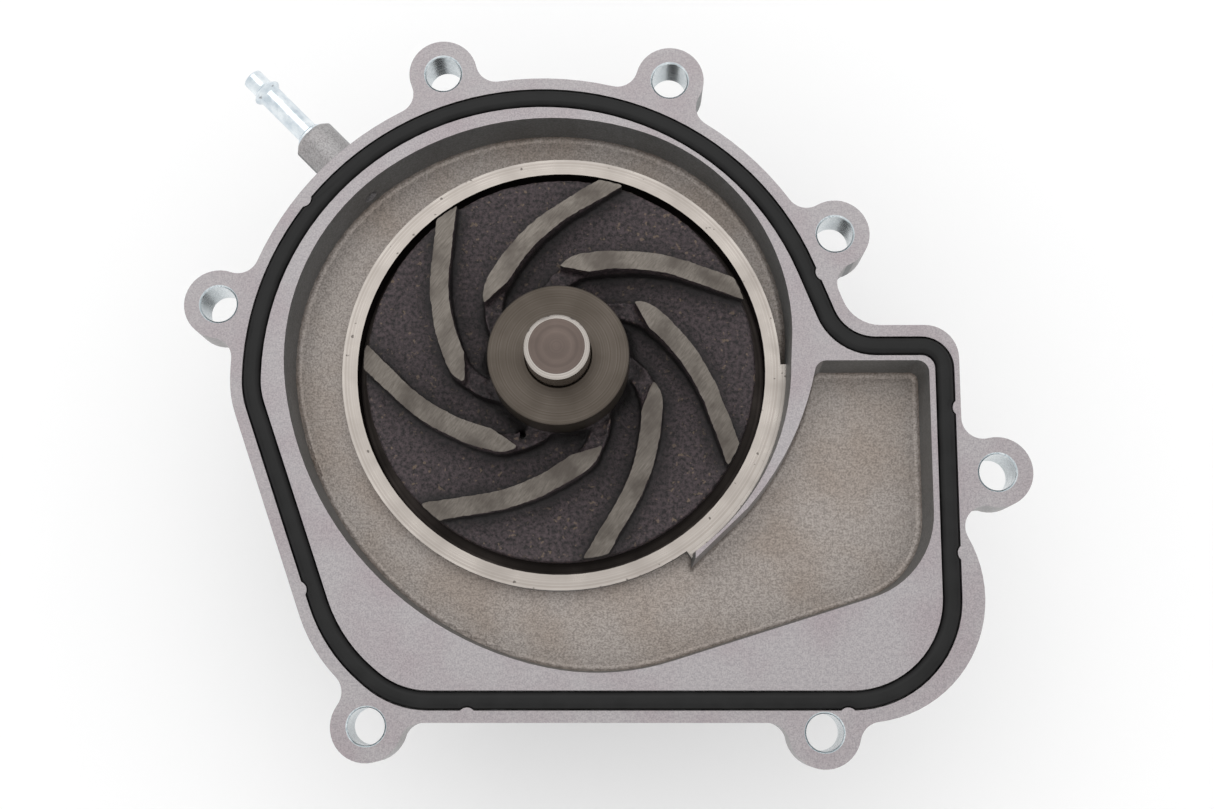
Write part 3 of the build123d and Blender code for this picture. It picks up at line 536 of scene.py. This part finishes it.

# %% [markdown]
# ## Cast iron and ground iron
# Cast iron leaves the sand as a dark purple-brown skin with lighter grains, and rusty gold
# specks where the skin is thin. The corners are darkened near black with painted shade. The
# ground tops are bare grey iron, with fine scratches that all run one way. One material holds
# both, divided at the grinding line, so that the bright tops end exactly where the flat ends.
# The painted shade is marked on the mesh, as each point's nearness to the foot of a vane or the hub.

# %% Impeller: mark the corners for painted shade
PAINTED_SHADE_REACH = 2.2 * MM
FOOT_LOW, FOOT_HIGH = PLATE_TOP + 1.2 * MM, PLATE_TOP + 2.2 * MM
feet = [v.co.copy() for v in impeller_mesh.verts if FOOT_LOW < v.co.z < FOOT_HIGH]
foot_tree = kdtree.KDTree(len(feet))
for number, foot in enumerate(feet):
    foot_tree.insert(foot, number)
foot_tree.balance()
# Each point's painted shade, strongest at the foot of a vane or the hub.
painted_shade_mark = impeller_mesh.verts.layers.float.new("corner")
for vertex in impeller_mesh.verts:
    away = foot_tree.find(vertex.co)[2]
    patchy = 1.0 + 0.6 * noise.noise(vertex.co / (5.0 * MM))
    vertex[painted_shade_mark] = math.exp(-away / (PAINTED_SHADE_REACH * patchy)) * (vertex.co.z < FOOT_HIGH + 2 * MM)
print("points at the foot of the vanes:", len(feet))

# %% Cast iron
iron, iron_shader = new_material("cast_iron_sand_skin_and_ground_tops", {})
iron_at = add_node(iron, "TexCoord", {}, "Object")
iron_x = add_node(iron, "SeparateXYZ", {"Vector": iron_at}, "X")
iron_y = add_node(iron, "SeparateXYZ", {"Vector": iron_at}, "Y")
iron_z = add_node(iron, "SeparateXYZ", {"Vector": iron_at}, "Z")
iron_flat = add_node(iron, "CombineXYZ", {"X": iron_x, "Y": iron_y})
iron_radius = add_node(iron, "VectorMath", {0: iron_flat}, "Value", operation="LENGTH")
line_sockets = {0: iron_radius, 1: -VANE_FALL, 2: VANE_TOP + VANE_FALL * VANE_TOP_RADIUS}
iron_line = add_node(iron, "Math", line_sockets, operation="MULTIPLY_ADD")
above_line = add_node(iron, "Math", {0: iron_z, 1: iron_line}, operation="SUBTRACT")
ground_sockets = {"Value": above_line, "From Min": -0.06 * MM, "From Max": -0.02 * MM}
ground = add_node(iron, "MapRange", ground_sockets)

# %% Cast iron: the dark skin
sand_sockets = {"Vector": iron_at, "Scale": 1 / (1.0 * MM), "Detail": 4.0, "Roughness": 0.7}
sand = add_node(iron, "TexNoise", sand_sockets)
sand_spread = add_node(iron, "MapRange", {"Value": sand, "From Min": 0.38, "From Max": 0.64})
skin_sockets = {FACTOR: sand_spread, FIRST_COLOUR: linear("#140F11"), SECOND_COLOUR: linear("#4C4043")}
skin = add_node(iron, "Mix", skin_sockets, COLOUR_OUT, data_type="RGBA")
rust = add_node(iron, "TexNoise", {"Vector": iron_at, "Scale": 1 / (1.3 * MM), "Detail": 2.0})
rust_sockets = {"Value": rust, "From Min": 0.64, "From Max": 0.7, "To Max": 0.5}
rust_specks = add_node(iron, "MapRange", rust_sockets)
skin_sockets = {FACTOR: rust_specks, FIRST_COLOUR: skin, SECOND_COLOUR: linear("#7C6A58")}
skin = add_node(iron, "Mix", skin_sockets, COLOUR_OUT, data_type="RGBA")
# The corner attribute holds painted shade: it darkens the foot of each vane and the hub towards near black.
corner = add_node(iron, "Attribute", {}, "Fac", attribute_name="corner")
painted_shade_sockets = {"Value": corner, "From Min": 0.12, "From Max": 0.62, "To Max": 0.92}
painted_corner_shade = add_node(iron, "MapRange", painted_shade_sockets)
skin_sockets = {FACTOR: painted_corner_shade, FIRST_COLOUR: skin, SECOND_COLOUR: linear("#100D0D")}
skin = add_node(iron, "Mix", skin_sockets, COLOUR_OUT, data_type="RGBA")

# %% Cast iron: the ground tops
SCRATCH_TURN = math.radians(38.0)
turned_at = add_node(iron, "Mapping", {"Vector": iron_at, "Rotation": (0.0, 0.0, SCRATCH_TURN)})
long_at = add_node(iron, "Mapping", {"Vector": turned_at, "Scale": (1.0, 0.1, 1.0)})
scratch_sockets = {"Vector": long_at, "Scale": 1 / (0.4 * MM), "Detail": 3.0, "Roughness": 0.7}
scratches = add_node(iron, "TexNoise", scratch_sockets)
iron_cloud = add_node(iron, "TexNoise", {"Vector": iron_at, "Scale": 1 / (8.0 * MM), "Detail": 3.0})
scratch_spread = add_node(iron, "MapRange", {"Value": scratches, "From Min": 0.3, "From Max": 0.7})
top_sockets = {FACTOR: scratch_spread, FIRST_COLOUR: linear("#5F5953"), SECOND_COLOUR: linear("#7B756E")}
tops = add_node(iron, "Mix", top_sockets, COLOUR_OUT, data_type="RGBA")
cloud_sockets = {"Value": iron_cloud, "From Min": 0.42, "From Max": 0.66, "To Max": 0.8}
top_sockets = {FACTOR: add_node(iron, "MapRange", cloud_sockets), FIRST_COLOUR: tops}
top_sockets[SECOND_COLOUR] = linear("#4C4641")
tops = add_node(iron, "Mix", top_sockets, COLOUR_OUT, data_type="RGBA")

# %% Cast iron: both together
base_sockets = {FACTOR: ground, FIRST_COLOUR: skin, SECOND_COLOUR: tops}
iron_base = add_node(iron, "Mix", base_sockets, COLOUR_OUT, data_type="RGBA")
iron_metal = add_node(iron, "MapRange", {"Value": ground, "To Min": 0.1, "To Max": 0.8})
iron_dull = add_node(iron, "MapRange", {"Value": ground, "To Min": 0.6, "To Max": 0.42})
SCRATCH_SHARE = 0.03
scratch_height = add_node(iron, "Math", {0: scratches, 1: SCRATCH_SHARE}, operation="MULTIPLY")
height_sockets = {FACTOR: ground, FIRST_NUMBER: sand, SECOND_NUMBER: scratch_height}
iron_height = add_node(iron, "Mix", height_sockets)
iron_normal = add_node(iron, "Bump", {"Height": iron_height, "Distance": 0.4 * MM})
iron_sockets = {"Base Color": iron_base, "Metallic": iron_metal, "Roughness": iron_dull}
feed(iron, iron_shader, {**iron_sockets, "Normal": iron_normal})
hub_skin = turned_metal("cast_iron_turned_hub", "#5D5650", "#484139", 0.42, 0.3, metallic=0.85)
finish_piece("impeller_casting", impeller_mesh, [iron, hub_skin], "rotor", 50.0,
             ["impeller"])

# %% [markdown]
# ## Shaft
# The shaft is ground bearing steel. Its end has faint rings from the lathe and is stained
# brown, while the chamfer round it is a paler steel as a painted highlight.

# %% Shaft
ground_steel = turned_metal("bearing_steel_ground", "#A69E97", "#827A73", 0.25, 0.6, line_depth=0.003)
stained_steel = turned_metal("bearing_steel_turned_end", "#685C56", "#564C47", 0.42, 0.9, 0.8, 0.0, 0.001)
# The chamfer's paler colour is a painted highlight along the edge of the shaft end.
chamfer_painted_highlight_steel = turned_metal("bearing_steel_chamfer_painted_highlight", "#C9C3BD", "#ABA49D", 0.2, 0.5)
SHAFT_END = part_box("shaft")[1].z
END_ZONE = 1.3 * MM
LEVEL_UP, CHAMFER_UP = 0.97, 0.2
shaft_mesh = cad_copy("shaft")
break_edges(shaft_mesh, 0.12)
for face in shaft_mesh.faces:
    if face.calc_center_median().z > SHAFT_END - END_ZONE and face.normal.z > CHAMFER_UP:
        face.material_index = 1 if face.normal.z > LEVEL_UP else 2
finish_piece("shaft_turned", shaft_mesh, [ground_steel, stained_steel, chamfer_painted_highlight_steel], "rotor",
             replaces=["shaft"])

# %% [markdown]
# ## Hose nipple
# The nipple is a steel tube with a rolled bead, plated with bright zinc. Its profile is spun
# about its own axis, and one matrix then sets it in the boss. The bead is a smooth hump made
# by a cosine, because a rolled bead has no corners.

# %% Hose nipple
hose_mount = mounts["hose_end"]
nipple_end = Vector(hose_mount["pos_m"])
nipple_turn = Vector(hose_mount["axis"]).to_track_quat("Z", "Y").to_matrix().to_4x4()
TUBE, TUBE_BORE, TUBE_END, BEAD, COLLAR = 3.0, 2.0, 2.75, 3.9, 3.9
TUBE_LENGTH, TUBE_INSERT, BEAD_PLACE, BEAD_HALF = 23.0, 9.0, 5.8, 1.5
bead_profile = []
for step in range(9):
    part = step / 4 - 1
    tube = TUBE if part < 0 else TUBE_END
    height = (BEAD - tube) * (0.5 + 0.5 * math.cos(math.pi * part))
    bead_profile.append((tube + height, -BEAD_PLACE + part * BEAD_HALF))
tube_profile = [
    (TUBE_BORE, -TUBE_LENGTH - TUBE_INSERT), (TUBE, -TUBE_LENGTH - TUBE_INSERT),
    (TUBE, -TUBE_LENGTH), (COLLAR - 0.3, -TUBE_LENGTH), (COLLAR, -TUBE_LENGTH + 0.3),
    (COLLAR, -TUBE_LENGTH + 0.8), (COLLAR - 0.4, -TUBE_LENGTH + 1.2), (TUBE, -TUBE_LENGTH + 1.3),
    *bead_profile,
    (TUBE_END, -0.45), (TUBE_END - 0.1, -0.15), (TUBE_END - 0.3, 0.0), (TUBE_BORE + 0.15, 0.0),
    (TUBE_BORE, -0.2),
]
nipple_mesh = spun(tube_profile, 64, Matrix.Translation(nipple_end) @ nipple_turn)
finish_piece("hose_nipple_tube", nipple_mesh, [zinc], "housing", 40.0, ["hose_nipple"])

# %% [markdown]
# ## Pulley, drive hub and screws
# These are on the far side. The pulley is coated black, the drive hub is turned steel, and four
# zinc-plated flange screws hold the pulley on. Each screw is a spun washer and shank with a
# six-sided head, whose free edge is rounded.

# %% Pulley and drive hub
pulley_mesh = cad_copy("pulley")
break_edges(pulley_mesh, 0.35)
finish_piece("belt_pulley_coated", pulley_mesh, [coat], "rotor", replaces=["pulley"])

turned_steel = turned_metal("steel_turned_drive_hub", "#918F8B", "#72706C", 0.32, 0.5)
hub_mesh = cad_copy("drive_hub")
break_edges(hub_mesh, 0.35)
finish_piece("drive_hub_turned", hub_mesh, [turned_steel], "rotor",
             replaces=["drive_hub"])

# %% Pulley screws
SCREW_CIRCLE = 22.0
SCREW_COUNT = 4
HEAD_HEIGHT, HEAD_ACROSS, HEAD_ROUND, HEAD_SINK = 5.3, 13.0, 0.7, 0.4
WASHER_HEIGHT, WASHER_RADIUS, WASHER_LIP, SHANK_RADIUS, SHANK_POINT = 1.6, 8.5, 0.9, 4.0, 0.6
screw_low, screw_high = (corner.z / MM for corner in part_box("pulley_bolts"))
washer_low = screw_low + HEAD_HEIGHT
washer_top = washer_low + WASHER_HEIGHT
washer_profile = [
    (0.01, washer_low - HEAD_SINK), (HEAD_ACROSS / 2 - 0.3, washer_low - HEAD_SINK),
    (WASHER_RADIUS - 0.9, washer_low + 0.4 * WASHER_LIP),
    (WASHER_RADIUS - 0.2, washer_low + 0.7 * WASHER_LIP),
    (WASHER_RADIUS, washer_low + WASHER_LIP), (WASHER_RADIUS, washer_top - 0.15),
    (WASHER_RADIUS - 0.15, washer_top), (SHANK_RADIUS, washer_top),
    (SHANK_RADIUS, screw_high - SHANK_POINT), (SHANK_RADIUS - SHANK_POINT, screw_high),
    (0.01, screw_high),
]


def hexagon_head(middle):
    """Six-sided head with its free edge rounded."""
    mesh = bmesh.new()
    corner_radius = HEAD_ACROSS / 2 / math.cos(math.pi / 6) * MM
    seat = middle @ Matrix.Translation((0, 0, washer_low * MM))
    bmesh.ops.create_circle(mesh, cap_ends=True, segments=6, radius=corner_radius, matrix=seat)
    grown = bmesh.ops.extrude_face_region(mesh, geom=mesh.faces[:])
    free = [item for item in grown["geom"] if isinstance(item, bmesh.types.BMVert)]
    bmesh.ops.translate(mesh, vec=(0, 0, -HEAD_HEIGHT * MM), verts=free)
    bmesh.ops.recalc_face_normals(mesh, faces=mesh.faces)
    rim = [edge for edge in mesh.edges if all(vertex in free for vertex in edge.verts)]
    bmesh.ops.bevel(mesh, geom=rim, offset=HEAD_ROUND * MM, segments=3, profile=0.5, affect="EDGES",
                    material=-1)
    return mesh


screws_mesh = bmesh.new()
for number in range(SCREW_COUNT):
    turn = math.tau * number / SCREW_COUNT
    across, up = SCREW_CIRCLE * MM * math.cos(turn), SCREW_CIRCLE * MM * math.sin(turn)
    middle = Matrix.Translation((across, up, 0))
    join_into(screws_mesh, spun(washer_profile, 48, middle), 0)
    join_into(screws_mesh, hexagon_head(middle), 0)
finish_piece("pulley_flange_screws", screws_mesh, [plated_steel], "rotor", 40.0,
             ["pulley_bolts"])

# %% [markdown]
# ## Inner pieces
# The bearing and the shaft seal are closed in. Their CAD shapes are right, so each only takes
# its own finish.

# %% Inner pieces
spring_steel = turned_metal("spring_steel_dark", "#6A6A6A", "#4C4C4C", 0.35, 0.8)
pressed_steel = turned_metal("steel_pressed_stainless", "#B4B4B2", "#949492", 0.28, 0.8)
inner_finishes = {
    "bearing_outer_ring": ground_steel, "ball_row": ground_steel, "roller_row": ground_steel,
    "ball_cage": cage_plastic, "roller_cage": cage_plastic,
    "bearing_seal_front": rubber, "bearing_seal_rear": rubber, "seal_bellows": rubber,
    "mating_ring_boot": rubber, "mating_ring": ceramic, "carbon_ring": carbon,
    "seal_case": pressed_steel, "spring_collar": pressed_steel, "slinger_ring": pressed_steel,
    "seal_spring": spring_steel, "bearing_circlip": spring_steel,
}
for name, finish in inner_finishes.items():
    nodes[name].data.materials.clear()
    nodes[name].data.materials.append(finish)
print("inner pieces finished:", len(inner_finishes))

# %% [markdown]
# ## Floor, light and background
# A plain pale floor, a pale surround and one large soft panel overhead. The panel stands a
# little behind the top of the pump, so the walls that face down in the view stay dark, as they
# do under a studio softbox.

# %% Floor and light
floor_sockets = {"Base Color": linear("#F8F8F8"), "Roughness": 0.9}
floor_material = new_material("studio_floor_matt", floor_sockets)[0]
floor_mesh = bmesh.new()
floor_matrix = Matrix.Translation((0, 0, cad_box[0].z))
bmesh.ops.create_grid(floor_mesh, x_segments=1, y_segments=1, size=30.0, matrix=floor_matrix)
floor_data = bpy.data.meshes.new("studio_floor")
floor_mesh.to_mesh(floor_data)
floor_mesh.free()
floor_data.materials.append(floor_material)
studio_floor = bpy.data.objects.new("studio_floor", floor_data)
bpy.context.scene.collection.objects.link(studio_floor)

world = bpy.data.worlds.new("studio_surround")
world.use_nodes = True
world.node_tree.nodes["Background"].inputs["Color"].default_value = (1.0, 1.0, 1.0, 1.0)
world.node_tree.nodes["Background"].inputs["Strength"].default_value = 1.0
bpy.context.scene.world = world


def soft_panel(name, place_at, aim_at, size, power):
    """A square area light that looks at a point."""
    lamp = bpy.data.lights.new(name, "AREA")
    lamp.shape = "SQUARE"
    lamp.size = size
    lamp.energy = power
    holder = bpy.data.objects.new(name, lamp)
    holder.location = place_at
    holder.rotation_euler = (Vector(aim_at) - Vector(place_at)).to_track_quat("-Z", "Y").to_euler()
    bpy.context.scene.collection.objects.link(holder)
    return holder


soft_panel("overhead_panel", (-0.1, 0.55, 1.3), (0.0, 0.0, 0.0), 1.2, 4.0)
bpy.context.scene.view_settings.view_transform = "Standard"
print("lights placed")
